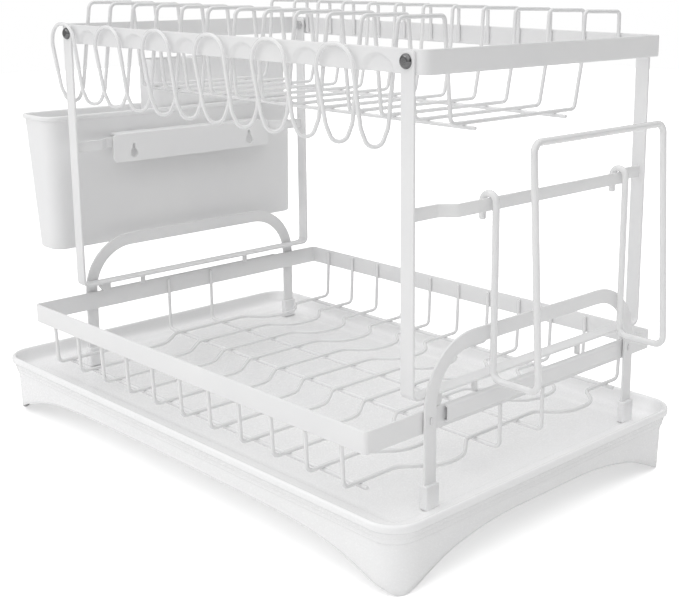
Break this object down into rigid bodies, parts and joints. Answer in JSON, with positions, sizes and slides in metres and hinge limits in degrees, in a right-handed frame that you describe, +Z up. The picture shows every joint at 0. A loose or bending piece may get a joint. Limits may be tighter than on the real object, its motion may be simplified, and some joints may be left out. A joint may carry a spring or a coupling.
{
  "type": "two tier dish drying rack",
  "caption": "White two-tier dish drying rack of coated steel wire and strip, with a plastic drip tray, a side utensil bin with insert, and a wire cutting-board holder.",
  "frame": {"origin": "centre of the rack on the floor plane under the tray's feet", "axes": "+X to the board holder's side, along the long side; -Y the front; +Z up"},
  "size_m": [0.5398, 0.322, 0.366],
  "materials": {
    "tray_plastic": "smooth moulded white",
    "bin_plastic": "fine matt moulded white",
    "cap_plastic": "slightly translucent white",
    "clip_plastic": "white moulded",
    "bright_steel": "polished",
    "wire_coat": "white powder coat",
    "strip_coat": "white powder coat"
  },
  "bodies": {
    "tray": {"drip_tray": "tray_plastic"},
    "bin": {"bin_hanger_plate": "bin_plastic", "utensil_bin": "bin_plastic"},
    "insert": {"cutlery_insert": "bin_plastic"},
    "holder": {"board_holder": "wire_coat"},
    "rack": {"cap_nuts": "bright_steel", "dome_screws": "bright_steel", "left_arch_leg": "strip_coat", "left_back_foot_cap": "cap_plastic", "left_frame_clip": "clip_plastic", "left_frame_studs": "clip_plastic", "left_front_foot_cap": "cap_plastic", "left_hanger_bar": "strip_coat", "left_side_channel": "strip_coat", "left_side_frame": "strip_coat", "leg_rivets": "bright_steel", "lower_long_cross_wire_back": "wire_coat", "lower_long_cross_wire_front": "wire_coat", "lower_rim": "strip_coat", "lower_short_cross_wire_back": "wire_coat", "lower_short_cross_wire_front": "wire_coat", "lower_wire_01": "wire_coat", "lower_wire_02": "wire_coat", "lower_wire_03": "wire_coat", "lower_wire_04": "wire_coat", "lower_wire_05": "wire_coat", "lower_wire_06": "wire_coat", "lower_wire_07": "wire_coat", "lower_wire_08": "wire_coat", "lower_wire_09": "wire_coat", "lower_wire_10": "wire_coat", "lower_wire_11": "wire_coat", "post_spacers": "bright_steel", "right_arch_leg": "strip_coat", "right_back_foot_cap": "cap_plastic", "right_frame_clip": "clip_plastic", "right_frame_studs": "clip_plastic", "right_front_foot_cap": "cap_plastic", "right_hanger_bar": "strip_coat", "right_side_channel": "strip_coat", "right_side_frame": "strip_coat", "upper_cross_wire_back": "wire_coat", "upper_cross_wire_front": "wire_coat", "upper_rim": "strip_coat", "upper_wire_pair_1": "wire_coat", "upper_wire_pair_2": "wire_coat", "upper_wire_pair_3": "wire_coat", "upper_wire_pair_4": "wire_coat", "upper_wire_pair_5": "wire_coat", "upper_wire_pair_6": "wire_coat"}
  },
  "joints": [
    {"name": "rack_lift", "type": "slide", "parent": "tray", "child": "rack", "axis": [0, 0, 1], "range_m": [0, 0.2]},
    {"name": "bin_lift", "type": "slide", "parent": "rack", "child": "bin", "axis": [0, 0, 1], "range_m": [0, 0.04]},
    {"name": "insert_lift", "type": "slide", "parent": "bin", "child": "insert", "axis": [0, 0, 1], "range_m": [0, 0.15]},
    {"name": "holder_swing", "type": "hinge", "parent": "rack", "child": "holder", "pos_m": [0.214, 0.026, 0.2455], "axis": [0, -1, 0], "range_deg": [0, 5.5]}
  ]
}
